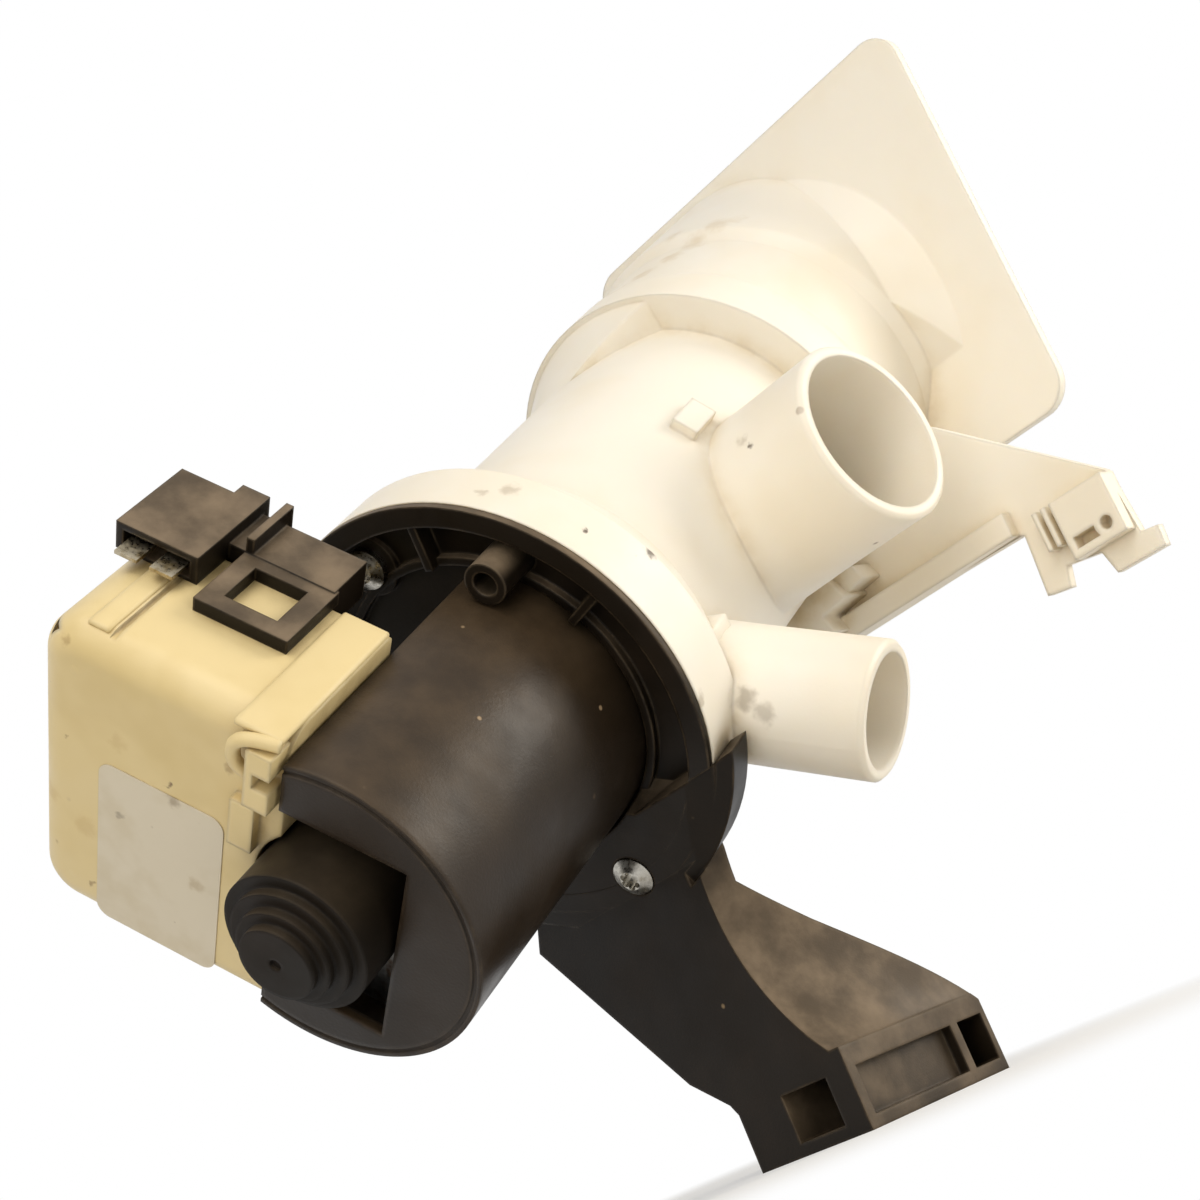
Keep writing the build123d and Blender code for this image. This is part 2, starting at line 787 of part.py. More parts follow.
def make_filter_basket():
    """Slotted lint basket with a round window for the inlet and a snap hole for the cap."""
    shape = rod(basket_radius, basket_rear, basket_front)
    shape -= rod(basket_radius - basket_wall, basket_rear + basket_wall, basket_front - basket_wall)
    shape -= rod(basket_hole, basket_front - 2 * basket_wall, basket_front + overrun)
    slot_start = basket_rear + basket_slot_margin
    slot_end = basket_front - basket_slot_margin
    for angle in around(basket_slot_count):
        slot = slab(basket_radius - 2 * basket_wall, basket_radius + overrun, -basket_slot_width / 2,
                    basket_slot_width / 2, slot_start, slot_end)
        shape -= Rot(0, 0, angle) * slot
    for angle in around(basket_end_slot_count):
        slot = slab(basket_end_slot_inner, basket_radius - 2 * basket_wall, -basket_slot_width / 2,
                    basket_slot_width / 2, basket_rear - overrun, basket_rear + 2 * basket_wall)
        shape -= Rot(0, 0, angle) * slot
    window = INLET * rod(basket_window_radius, basket_radius / 2, far)
    return largest(shape - window)


def make_filter_cap():
    """Screw-in cap with a seal groove, four lugs, a snap stem and a grip bar."""
    seal_top = cap_seal_station + cap_seal_section
    groove = cap_radius - cap_seal_section
    shape = rod(cap_radius, cap_rear, cap_front)
    shape -= rod(cap_radius - 2 * cap_wall, cap_rear + cap_wall, cap_front + overrun)
    shape -= ring(cap_radius + overrun, groove, cap_seal_station - cap_seal_section, seal_top)
    for angle in around(cap_lug_count):
        shape += sector(cap_bore - lug_gap, cap_radius - cap_wall, cap_lug_sweep, angle, cap_lug_rear,
                        cap_lug_rear + cap_lug_length)
    grip = slab(-grip_length / 2, grip_length / 2, -grip_wall / 2, grip_wall / 2, cap_rear,
                cap_front + grip_height)
    shape += grip
    stem = basket_hole - stem_gap
    snap_top = basket_front - basket_wall - stem_gap
    shape += rod(stem, snap_top - stem_snap_length, cap_rear + overrun)
    shape += rod(basket_hole + stem_snap, snap_top - stem_snap_length, snap_top)
    return largest(shape)


def make_cap_seal():
    """O-ring in the cap's groove."""
    section = cap_seal_section - running_gap
    middle = cap_radius - cap_seal_section + section + running_gap / 2
    return Pos(0, 0, cap_seal_station) * Torus(middle, section)


def d_shape(radius, flat, start, end):
    """A cylinder cut off by a flat on its left side."""
    return rod(radius, start, end) & slab(flat, radius, -radius, radius, start, end)


def make_motor_cover():
    """Black D-shaped cover, open towards the coil block and the flange, with a window in its end."""
    shape = d_shape(cover_radius, cover_flat, cover_rear, floor_rear)
    shape -= d_shape(cover_radius - cover_wall, cover_flat - overrun, cover_rear + cover_wall,
                     floor_rear + overrun)
    shape -= slab(cover_flat - overrun, cover_window_right, cover_window_low, cover_window_high,
                  cover_rear - overrun, cover_rear + 2 * cover_wall)
    line = d_shape(cover_radius - cover_line_inset, cover_flat - overrun, cover_rear - overrun,
                   cover_rear + cover_line_depth)
    line -= d_shape(cover_radius - 2 * cover_line_inset, cover_flat - 2 * overrun, cover_rear - 2 * overrun,
                    cover_rear + cover_line_depth + overrun)
    return shape - line


def core_legs(gap):
    """The two legs of the lamination stack, grown by a gap."""
    shape = slab(yoke_left, pole_right, leg_inner - gap, leg_inner + leg_width + gap, stack_rear - gap,
                 stack_front + gap)
    return shape + mirror(shape, Plane.XZ)


def make_coil_block():
    """Cream moulding round the windings, with a line along its top and two small lugs on its end."""
    shape = slab(coil_left, coil_right, coil_low, coil_high, coil_rear, coil_front)
    corner = shape.edges().filter_by(Axis.Z).sort_by(Axis.X)[:2]
    shape = fillet(corner, coil_corner_round)
    rear_edges = shape.faces().sort_by(Axis.Z)[0].edges().filter_by(Axis.X)
    shape = fillet(rear_edges, coil_edge_round)
    front_edges = shape.faces().sort_by(Axis.Z)[-1].edges().filter_by(Axis.X)
    shape = fillet(front_edges, coil_front_round)
    shape -= slab(coil_groove_x, coil_groove_x + coil_groove_width, coil_low - overrun,
                  coil_low + coil_groove_depth,
                  coil_rear - overrun, coil_groove_front)
    shape += slab(hook_left, hook_right, hook_low, hook_high, coil_rear - hook_rise, coil_rear + overrun)
    hook_middle = (hook_low + hook_high) / 2
    shape -= slab(hook_left + hook_slit, hook_right + overrun, hook_middle - hook_slit,
                  hook_middle + hook_slit,
                  coil_rear - hook_rise - overrun, coil_rear)
    shape += slab(tab_left, tab_right, tab_low, tab_high, coil_rear - tab_rise, coil_rear + overrun)
    shape -= slab(coil_left + coil_wall, coil_right - coil_wall, coil_low + coil_wall + coil_wall / 2,
                  coil_high - coil_wall - coil_wall / 2, coil_rear + coil_wall, coil_front - coil_wall)
    shape -= rod(pole_bore, coil_rear - overrun, coil_front + overrun)
    return shape - core_legs(core_gap)


def make_stator_core():
    """U-shaped stack of laminations whose legs end in two pole arcs."""
    shape = core_legs(0)
    shape += slab(yoke_left, yoke_left + yoke_width, -leg_inner - leg_width, leg_inner + leg_width,
                  stack_rear,
                  stack_front)
    pole = slab(coil_right + core_gap, pole_right, pole_inner, leg_inner + leg_width, stack_rear,
                stack_front)
    shape += pole + mirror(pole, Plane.XZ)
    outside = slab(cover_flat, cover_radius, -cover_radius, cover_radius, stack_rear - overrun,
                   stack_front + overrun)
    shape -= outside - rod(pole_outer, stack_rear - 2 * overrun, stack_front + 2 * overrun)
    return shape - rod(pole_bore, stack_rear - overrun, stack_front + overrun)


def leg_sleeve(inner, outer, left, right):
    """A box tube round one leg of the stack, both walls given as growths of the leg."""
    def body(grow, start, end):
        return slab(start, end, leg_inner - grow, leg_inner + leg_width + grow, stack_rear - grow,
                    stack_front + grow)
    return body(outer, left, right) - body(inner, left - overrun, right + overrun)


def make_bobbin():
    """Former on one leg, with a flange at each end."""
    outer = core_gap + bobbin_wall
    full = outer + winding_build
    shape = leg_sleeve(core_gap, outer, bobbin_left, bobbin_right)
    shape += leg_sleeve(core_gap, full, bobbin_left, bobbin_left + bobbin_flange)
    return shape + leg_sleeve(core_gap, full, bobbin_right - bobbin_flange, bobbin_right)


def make_winding():
    """Copper winding on one former."""
    inner = core_gap + bobbin_wall
    return leg_sleeve(inner, inner + winding_build, bobbin_left + bobbin_flange,
                      bobbin_right - bobbin_flange)


def make_rating_label():
    """Bare label on the end of the coil block."""
    middle = Pos((label_left + label_right) / 2, (label_low + label_high) / 2, coil_rear - label_thickness)
    return extrude(middle * RectangleRounded(label_right - label_left, label_high - label_low, label_round),
                   label_thickness)


def make_terminal_housing():
    """Black connector shroud with a deck, a fin and the latch frame that lies on the coil block."""
    shape = slab(shroud_left, shroud_right, shroud_top, shroud_low, coil_front, shroud_end)
    shape += slab(shroud_left, shroud_right, shroud_top, coil_low, shroud_mouth, coil_front + overrun)
    shape += slab(shroud_right - shroud_back_width, shroud_right, shroud_top, shroud_low, coil_front,
                  shroud_back_end)
    shape += slab(deck_left, deck_right, deck_top, deck_low, coil_front, deck_end)
    shape += slab(bridge_left, bridge_right, deck_low, bridge_low, coil_front, deck_end)
    shape += slab(fin_left, fin_right, fin_top, deck_low, coil_front, fin_end)
    latch_top = coil_low - latch_thickness
    shape += slab(latch_left, latch_right, latch_top, coil_low, latch_rear, coil_front + overrun)
    shape -= slab(latch_window_left, latch_window_right, latch_top - overrun, coil_low + overrun,
                  latch_window_rear,
                  latch_window_front)
    shape -= slab(shroud_left + shroud_side_wall, shroud_right - shroud_side_wall, shroud_top + shroud_wall,
                  coil_low - shroud_wall / 2, shroud_mouth - overrun, shroud_end - shroud_side_wall)
    return largest(shape)


def make_terminal_blades():
    """Two flat tabs in the shroud."""
    middle = (shroud_top + shroud_wall + coil_low - shroud_wall / 2) / 2
    blades = []
    for place in (blade_first, blade_second):
        blade = slab(place - blade_width / 2, place + blade_width / 2, middle - blade_thickness / 2,
                     middle + blade_thickness / 2, blade_rear, shroud_end - shroud_side_wall)
        blades.append(blade)
    return Compound(children=blades)


def save(name, shape, frame=Pos(0, 0, 0)):
    """Write one piece, moved from its own frame to the machine's."""
    export_step(PUMP * frame * shape, "parts/" + name + ".step")


os.makedirs("parts", exist_ok=True)
save("trap_housing", make_trap_housing())
save("pump_flange", make_pump_flange())
save("flange_screws", make_flange_screws())
save("flange_gasket", make_flange_gasket())
save("rotor_can", make_rotor_can())
save("can_seal", make_can_seal())
save("rear_cushion", make_rear_cushion())
save("rear_bearing", make_rear_bearing())
save("bearing_holder", make_bearing_holder())
save("front_bearing", make_front_bearing())
save("shaft_seal", make_shaft_seal())
save("rotor_magnet", make_rotor_magnet())
save("rotor_shaft", make_rotor_shaft())
save("drive_dog", make_drive_dog())
save("impeller", make_impeller())
save("filter_basket", make_filter_basket())
save("filter_cap", make_filter_cap())
save("cap_seal", make_cap_seal())
save("motor_cover", make_motor_cover(), MOTOR)
save("coil_block", make_coil_block(), MOTOR)
save("stator_core", make_stator_core(), MOTOR)
save("bobbin_upper", mirror(make_bobbin(), Plane.XZ), MOTOR)
save("bobbin_lower", make_bobbin(), MOTOR)
save("winding_upper", mirror(make_winding(), Plane.XZ), MOTOR)
save("winding_lower", make_winding(), MOTOR)
save("rating_label", make_rating_label(), MOTOR)
save("terminal_housing", make_terminal_housing(), MOTOR)
save("terminal_blades", make_terminal_blades(), MOTOR)
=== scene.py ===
# %% [markdown]
# A drain pump from a washing machine, dressed for its picture. The solids come from the CAD model, so
# every piece already sits in its place. This script gives each of them the finish of the real material,
# rounds the moulded edges, and adds the marks that years of use have left.

# %% The frame
from math import cos, radians, sin

import bmesh
import bpy
from mathutils import Matrix, Vector


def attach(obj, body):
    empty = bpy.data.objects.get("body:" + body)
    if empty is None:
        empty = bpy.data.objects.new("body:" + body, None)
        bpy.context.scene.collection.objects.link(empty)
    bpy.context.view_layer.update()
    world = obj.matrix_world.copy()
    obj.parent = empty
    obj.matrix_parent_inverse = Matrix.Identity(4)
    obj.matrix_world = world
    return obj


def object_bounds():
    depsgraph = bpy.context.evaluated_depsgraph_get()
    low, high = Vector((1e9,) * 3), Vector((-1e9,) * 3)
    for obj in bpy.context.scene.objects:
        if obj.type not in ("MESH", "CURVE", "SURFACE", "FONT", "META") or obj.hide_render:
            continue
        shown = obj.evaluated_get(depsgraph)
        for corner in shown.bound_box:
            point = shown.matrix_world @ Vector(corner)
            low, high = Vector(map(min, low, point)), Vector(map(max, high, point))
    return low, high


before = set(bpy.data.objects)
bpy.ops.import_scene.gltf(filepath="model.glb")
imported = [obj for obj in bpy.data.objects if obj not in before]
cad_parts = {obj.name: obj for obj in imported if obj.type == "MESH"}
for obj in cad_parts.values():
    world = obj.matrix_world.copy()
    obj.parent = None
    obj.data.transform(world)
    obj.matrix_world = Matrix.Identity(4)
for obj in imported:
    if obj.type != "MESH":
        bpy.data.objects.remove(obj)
cad_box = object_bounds()
MM = 0.001

# %% [markdown]
# The wet end of the pump leans: its axis rises towards the front of the washer. Places on it are easier
# to give in its own frame, with Z along the axis, so a matrix carries a point from there into the
# machine's frame. The motor hangs on the same axis but is turned about it. The foot and the side arm
# stand upright, so a third matrix has its Y straight up and its Z towards the front.

# %% Three working frames
PLATE_TILT = 28.75
MOTOR_ROLL = -121.0
AXIS_LENGTH = 159.85
REAR = Vector((0, AXIS_LENGTH * cos(radians(PLATE_TILT)), -AXIS_LENGTH * sin(radians(PLATE_TILT)))) * MM
PUMP = Matrix.Translation(REAR) @ Matrix.Rotation(radians(90 - PLATE_TILT), 4, "X")
MOTOR = PUMP @ Matrix.Rotation(radians(MOTOR_ROLL), 4, "Z")
UPRIGHT = Matrix.Translation(REAR) @ Matrix.Rotation(radians(90), 4, "X")


def at(where, x, y, z):
    """A point given in millimetres in one of the frames, in metres in the machine's frame."""
    return where @ (Vector((x, y, z)) * MM)


print("rear end of the axis, mm", [round(c / MM, 1) for c in REAR])

# %% [markdown]
# The camera stands low behind the pump, close to it, and is rolled to one side, as the photograph was
# taken with the pump lying in another attitude than the one it has in the washer. Its place and direction
# were worked out from the ellipses of the round parts, so they are given as numbers, not found by a
# helper.

# %% The camera
CAMERA_PLACE = (-0.28744, 0.39535, -0.16438)
CAMERA_LOOK = Vector((0.6649, -0.7006, 0.2588))
CAMERA_UP = Vector((-0.4473, -0.0961, 0.8892))
LENS = 59.96

back = -CAMERA_LOOK.normalized()
right = CAMERA_UP.cross(back).normalized()
upward = back.cross(right)
camera_data = bpy.data.cameras.new("camera")
camera_data.lens = LENS
camera_data.sensor_width = 36.0
camera_data.sensor_fit = "HORIZONTAL"
camera_data.clip_start = 0.01
camera = bpy.data.objects.new("camera", camera_data)
camera.matrix_world = Matrix((
    (right.x, upward.x, back.x, CAMERA_PLACE[0]),
    (right.y, upward.y, back.y, CAMERA_PLACE[1]),
    (right.z, upward.z, back.z, CAMERA_PLACE[2]),
    (0, 0, 0, 1)))
bpy.context.scene.collection.objects.link(camera)
bpy.context.scene.camera = camera
bpy.context.scene.view_settings.view_transform = "Standard"
print("camera at", CAMERA_PLACE, "with a lens of", LENS, "mm")

# %% [markdown]
# A material here is a small tree of shader nodes. One function writes a colour as the hex value that a
# designer would give and turns it into the linear numbers that the renderer works with. Another adds one
# node, sets it and links it. Two kinds of node come back in every recipe with the same setting, which has
# a name of its own: a range is always smooth at its ends, and a mix is always a mix of colours.

# %% Colours and nodes
SMOOTH = {"interpolation_type": "SMOOTHSTEP"}
COLOURS = {"data_type": "RGBA"}
CLOUD_ROUGHNESS = 0.55


def ink(code, alpha=1.0):
    """A hex colour in linear light."""
    channels = [int(code[i:i + 2], 16) / 255 for i in (1, 3, 5)]
    return (*[c / 12.92 if c <= 0.04045 else ((c + 0.055) / 1.055) ** 2.4 for c in channels], alpha)


def per(size):
    """The scale that makes a pattern's cells about size millimetres across."""
    return 1 / (size * MM)


def node(tree, kind, inputs=(), out=None, **settings):
    """Add one node and return it, or its output called out.

    The inputs are a list in the node's own order, or go by name or number. The value of each is a number,
    a colour or another node's output.
    """
    made = tree.nodes.new(kind)
    for name, value in settings.items():
        setattr(made, name, value)
    for name, value in (inputs.items() if isinstance(inputs, dict) else enumerate(inputs)):
        if isinstance(value, bpy.types.NodeSocket):
            tree.links.new(value, made.inputs[name])
        else:
            made.inputs[name].default_value = value
    return made if out is None else made.outputs[out]


def new_material(name):
    """An empty material: its tree, its shader and the piece's own coordinates in metres."""
    material = bpy.data.materials.new(name)
    material.use_nodes = True
    tree = material.node_tree
    tree.nodes.clear()
    shader = node(tree, "ShaderNodeBsdfPrincipled")
    node(tree, "ShaderNodeOutputMaterial", {"Surface": shader.outputs["BSDF"]})
    place = node(tree, "ShaderNodeTexCoord", out="Object")
    return material, tree, shader, place


print("a middle grey of #808080 is", round(ink("#808080")[0], 3), "in linear light")

# %% [markdown]
# A used moulding has marks in known places: scuffs on a rim, grey blots at the root of the outlet, a
# streak of dried dirty water. Each is a soft blot round a point. The point's surroundings are bent by
# noise first, so that no blot comes out as a plain disc.

# %% Marks in known places
BLOT_CORE = 0.3


def bent(tree, place, size, reach):
    """Coordinates pushed about by noise: blobs of size, moved by up to reach, both in millimetres."""
    cloud = node(tree, "ShaderNodeTexNoise", {"Vector": place, "Scale": per(size), "Detail": 3.0}, "Color")
    centred = node(tree, "ShaderNodeVectorMath", [cloud, (0.5, 0.5, 0.5)], "Vector", operation="SUBTRACT")
    scaled = node(tree, "ShaderNodeVectorMath", {0: centred, "Scale": 2 * reach * MM}, "Vector",
                  operation="SCALE")
    return node(tree, "ShaderNodeVectorMath", [place, scaled], "Vector")


def blot(tree, place, tint, point, radius, colour, share):
    """Stain a tint round one point. Radius is in millimetres."""
    away = node(tree, "ShaderNodeVectorMath", [place, point], "Value", operation="DISTANCE")
    near = node(tree, "ShaderNodeMapRange", [away, radius * MM, BLOT_CORE * radius * MM, 0.0, share],
                "Result", **SMOOTH)
    return node(tree, "ShaderNodeMix", {0: near, 6: tint, 7: ink(colour)}, 2, **COLOURS)


DIRT = "#4A3826"
SCUFF = "#8E7A5A"
HOUSING_MARKS = [(at(PUMP, *place), radius, colour, share) for place, radius, colour, share in (
    ((-36.5, 31.2, 15.2), 2.6, SCUFF, 0.4), ((-33.5, 34.3, 12.0), 1.8, SCUFF, 0.35),
    ((-45.0, 16.6, 13.5), 0.9, DIRT, 0.9), ((-47.8, 4.7, 19.3), 1.7, DIRT, 0.85),
    ((-46.8, 6.5, 17.0), 1.2, DIRT, 0.6), ((-18.9, 41.4, 106.4), 1.3, DIRT, 0.8),
    ((-15.5, 41.3, 111.0), 1.0, DIRT, 0.6), ((-44.7, 14.4, 141.9), 1.1, "#3F3A38", 0.9),
    ((-49.8, 4.0, 63.6), 1.2, DIRT, 0.85), ((-47.6, 6.2, 65.4), 2.4, SCUFF, 0.45),
    # Two grey blots darken the root of the outlet.
    ((-42.6, -28.3, 17.4), 3.4, "#8F8474", 0.6), ((-44.4, -32.6, 16.4), 3.0, "#8F8474", 0.45),
    ((-21.5, 34.9, 80.0), 1.2, SCUFF, 0.5), ((-43.2, -21.0, 7.3), 2.0, SCUFF, 0.4))]
STREAK = [((-7.0, 46.0, 123.0), 4.2), ((-13.0, 45.0, 129.0), 4.6), ((-17.5, 43.5, 136.0), 4.4),
          ((-21.0, 42.5, 142.0), 5.0), ((-25.5, 42.0, 148.0), 4.8), ((-14.0, 48.5, 148.0), 5.2),
          ((-30.0, 40.5, 151.0), 4.4)]
HOUSING_MARKS += [(at(PUMP, *place), radius, "#C2A878", 0.34) for place, radius in STREAK]
END_FACE = -54.0
COIL_MARKS = [(at(MOTOR, x, y, END_FACE), radius, colour, share) for x, y, radius, colour, share in (
    (-60.9, -20.3, 1.1, "#7E5C30", 0.7), (-57.7, -31.5, 1.9, "#A08250", 0.6),
    (-56.6, -9.2, 0.8, "#7E5C30", 0.65), (-49.6, 26.6, 1.0, "#7E5C30", 0.6),
    (-33.8, -10.0, 1.0, "#6A4A28", 0.8), (-38.0, -6.2, 1.2, "#6A4A28", 0.7),
    (-21.7, -20.9, 1.8, "#8E6C40", 0.55), (-50.3, -34.0, 1.8, "#A98B56", 0.4),
    (-52.0, 12.0, 3.4, "#C4A668", 0.35), (-60.0, 8.0, 3.0, "#C4A668", 0.35),
    (-58.5, 20.0, 1.2, "#9C7E4C", 0.4), (-45.0, -14.0, 2.6, "#C4A668", 0.3))]
LABEL_FACE = -54.2
LABEL_MARKS = [(at(MOTOR, x, y, LABEL_FACE), radius, colour, share) for x, y, radius, colour, share in (
    (-33.0, -6.6, 2.0, "#7A654C", 0.5), (-44.0, 4.0, 1.2, DIRT, 0.4), (-27.0, 12.0, 2.4, "#B09C78", 0.5))]
print("marks on housing, coil block and label", len(HOUSING_MARKS), len(COIL_MARKS), len(LABEL_MARKS))

# %% [markdown]
# Moulded plastic is never one flat colour. Old mouldings yellow in patches and carry specks of dirt, and
# the tool leaves a fine grain that breaks up the gloss. Corners and creases are darkened: painted shade,
# with some grime in it. Faces turned towards the top of the camera's view are made paler and browner:
# painted light, with some dust in it. Edges that stick out are rubbed pale. Every moulded edge has a
# small radius: the bevel node bends the light there as a real radius does. One recipe serves all the
# mouldings; the colours, the amount of painted shade and grime and the size of the grain tell them apart.
# The real grain is under a tenth of a millimetre, too fine to show, so it is drawn at about half a
# millimetre.

# %% Moulded plastic
# Faces turned this way, towards the top of the camera's view, get painted light with some dust.
LIT_AND_DUSTY_SIDE = Vector((-0.7, 0.27, 0.66)).normalized()
SHADE_AND_GRIME_SHARE = 0.7
WORN_SHARE = 0.6
GLOSS_PLAY = 0.08
BUMP_STRENGTH = 0.35
LIGHT_DEPTH = 2.5


def moulded(name, colour, patch, shade_and_grime, roughness, ior=1.5, gloss=0.5, patch_size=45.0, patch_share=0.6,
            shade_reach=7.0, speck=None, speck_size=9.0, speck_share=0.028, grain=0.5, grain_depth=0.05,
            edge=0.8, dust_and_light=None, dust_and_light_share=0.5, rubbed=None, marks=(), glow=0.0):
    """A moulding with yellowed patches, painted shade and grime in its corners, specks, painted light and
    dust on its upper faces, rubbed edges and a grain, in millimetres.
    """
    material, tree, shader, place = new_material(name)
    surface = node(tree, "ShaderNodeNewGeometry", out="Normal")
    rounded = node(tree, "ShaderNodeBevel", {"Radius": edge * MM}, "Normal", samples=6)
    cloud = {}
    for use, size, detail in (("patches", patch_size, 3.0), ("dust_and_light", 11.0, 5.0), ("wear", 5.0, 3.0),
                              ("patchiness", 6.0, 4.0), ("specks", 2.5 * speck_size, 3.0), ("gloss", 14.0, 3.0),
                              ("grain", grain, 2.0)):
        cloud[use] = node(tree, "ShaderNodeTexNoise", {"Vector": place, "Scale": per(size), "Detail": detail,
                                                       "Roughness": CLOUD_ROUGHNESS}, "Fac")

    yellowed = node(tree, "ShaderNodeMapRange", [cloud["patches"], 0.42, 0.68, 0.0, patch_share], "Result",
                    **SMOOTH)
    tint = node(tree, "ShaderNodeMix", {0: yellowed, 6: ink(colour), 7: ink(patch)}, 2, **COLOURS)
    # Painted light, with some dust: faces turned towards the top of the camera's view take the dust colour.
    if dust_and_light:
        facing = node(tree, "ShaderNodeVectorMath", [surface, LIT_AND_DUSTY_SIDE], "Value", operation="DOT_PRODUCT")
        upper = node(tree, "ShaderNodeMapRange", [facing, 0.25, 0.95, 0.0, dust_and_light_share], "Result", **SMOOTH)
        uneven = node(tree, "ShaderNodeMapRange", [cloud["dust_and_light"], 0.3, 0.75, 0.35, 1.0], "Result", **SMOOTH)
        lit_dust = node(tree, "ShaderNodeMath", [upper, uneven], "Value", operation="MULTIPLY")
        tint = node(tree, "ShaderNodeMix", {0: lit_dust, 6: tint, 7: ink(dust_and_light)}, 2, **COLOURS)
    if rubbed:
        bend = node(tree, "ShaderNodeVectorMath", [surface, rounded], "Value", operation="DOT_PRODUCT")
        edges = node(tree, "ShaderNodeMapRange", [bend, 0.995, 0.86, 0.0, WORN_SHARE], "Result", **SMOOTH)
        uneven = node(tree, "ShaderNodeMapRange", [cloud["wear"], 0.35, 0.7, 0.2, 1.0], "Result", **SMOOTH)
        worn = node(tree, "ShaderNodeMath", [edges, uneven], "Value", operation="MULTIPLY")
        tint = node(tree, "ShaderNodeMix", {0: worn, 6: tint, 7: ink(rubbed)}, 2, **COLOURS)

    # Painted shade, with some grime: corners and creases found by occlusion take the grime colour.
    open_sky = node(tree, "ShaderNodeAmbientOcclusion", {"Distance": shade_reach * MM}, "AO", samples=6)
    corner = node(tree, "ShaderNodeMapRange", [open_sky, 0.85, 0.35, 0.0, SHADE_AND_GRIME_SHARE], "Result", **SMOOTH)
    patchy = node(tree, "ShaderNodeMapRange", [cloud["patchiness"], 0.3, 0.7, 0.35, 1.0], "Result", **SMOOTH)
    shaded_corners = node(tree, "ShaderNodeMath", [corner, patchy], "Value", operation="MULTIPLY")
    tint = node(tree, "ShaderNodeMix", {0: shaded_corners, 6: tint, 7: ink(shade_and_grime)}, 2, **COLOURS)
    if speck:
        cells = node(tree, "ShaderNodeTexVoronoi", {"Vector": place, "Scale": per(speck_size)}, "Distance")
        spots = node(tree, "ShaderNodeMapRange", [cells, speck_share * 4, speck_share * 2, 0.0, 1.0],
                     "Result", **SMOOTH)
        rare = node(tree, "ShaderNodeMapRange", [cloud["specks"], 0.5, 0.6, 0.0, 1.0], "Result", **SMOOTH)
        dots = node(tree, "ShaderNodeMath", [spots, rare], "Value", operation="MULTIPLY")
        tint = node(tree, "ShaderNodeMix", {0: dots, 6: tint, 7: ink(speck)}, 2, **COLOURS)
    if marks:
        crooked = bent(tree, place, 2.6, 2.0)
        for mark in marks:
            tint = blot(tree, crooked, tint, *mark)
    tree.links.new(tint, shader.inputs["Base Color"])

    play = node(tree, "ShaderNodeMapRange", [cloud["gloss"], 0.3, 0.7, roughness - GLOSS_PLAY,
                                             roughness + GLOSS_PLAY], "Result", **SMOOTH)
    tree.links.new(play, shader.inputs["Roughness"])
    shader.inputs["IOR"].default_value = ior
    shader.inputs["Specular IOR Level"].default_value = gloss
    bump = node(tree, "ShaderNodeBump", {"Height": cloud["grain"], "Strength": BUMP_STRENGTH,
                                         "Distance": grain_depth * MM, "Normal": rounded}, "Normal")
    tree.links.new(bump, shader.inputs["Normal"])
    if glow:
        shader.inputs["Subsurface Weight"].default_value = glow
        shader.inputs["Subsurface Radius"].default_value = (1.0, 0.8, 0.5)
        shader.inputs["Subsurface Scale"].default_value = LIGHT_DEPTH * MM
    return material


# Polypropylene from a smooth tool: waxy, a soft gloss, a little light inside, yellowed with age.
ivory_polypropylene = moulded(
    "ivory_polypropylene_moulded", "#F3EEE3", "#EEE4CF", "#C9B48A", 0.46, ior=1.49, edge=1.3,
    shade_reach=9.0, speck="#7A5A3A", speck_size=18.0, speck_share=0.016, marks=HOUSING_MARKS, glow=0.12)
# Glass-filled polyamide: a dull black, made brown on its upper faces by painted light and dust, and
# paler on its edges.
black_polyamide = moulded(
    "black_polyamide_glass_filled", "#1B150E", "#2A2118", "#0A0805", 0.42, ior=1.53, gloss=0.14,
    patch_size=30.0, speck="#8C785C", speck_size=11.0, speck_share=0.018, grain=0.45, grain_depth=0.08,
    edge=0.9, dust_and_light="#8E7D68", dust_and_light_share=0.8, rubbed="#6E5F4A")
# Black polypropylene: smoother, so that it has one broad highlight under its painted light and dust.
black_polypropylene = moulded(
    "black_polypropylene_lit_and_dusty", "#231B12", "#382C20", "#0D0A06", 0.40, ior=1.49, gloss=0.24,
    patch_size=40.0, patch_share=0.3, speck="#9A8468", speck_size=9.0, speck_share=0.018, grain=0.6,
    grain_depth=0.1, edge=1.4, dust_and_light="#6E5C46", dust_and_light_share=0.35, rubbed="#5C4E3C")
# Polyester (PBT): cream, hard and dense, and browner in patches.
cream_polyester = moulded(
    "cream_pbt_moulded", "#E2CE9A", "#D2BB80", "#8C7141", 0.45, ior=1.57, patch_size=26.0, edge=1.4,
    speck="#6A4A28", speck_size=12.0, speck_share=0.022, rubbed="#F0E4C0", marks=COIL_MARKS)
# Moulded rubber: nearly black, with hardly any gloss.
black_rubber = moulded(
    "black_rubber_moulded", "#1D1812", "#27201A", "#0B0906", 0.5, ior=1.52, gloss=0.12, patch_size=18.0,
    grain=0.4, edge=1.0, dust_and_light="#5C5040", dust_and_light_share=0.35)
# Acetal: white, dense and a little shinier than the housing.
white_acetal = moulded("white_acetal_moulded", "#E9E6DC", "#DAD2BF", "#A08A63", 0.35, ior=1.48, edge=0.4,
                       glow=0.1)
# Grey polypropylene for the filter, stained by the water that it sits in.
grey_filter = moulded("grey_polypropylene_filter", "#B9B4A8", "#A59B86", "#6E5F45", 0.45, ior=1.49)
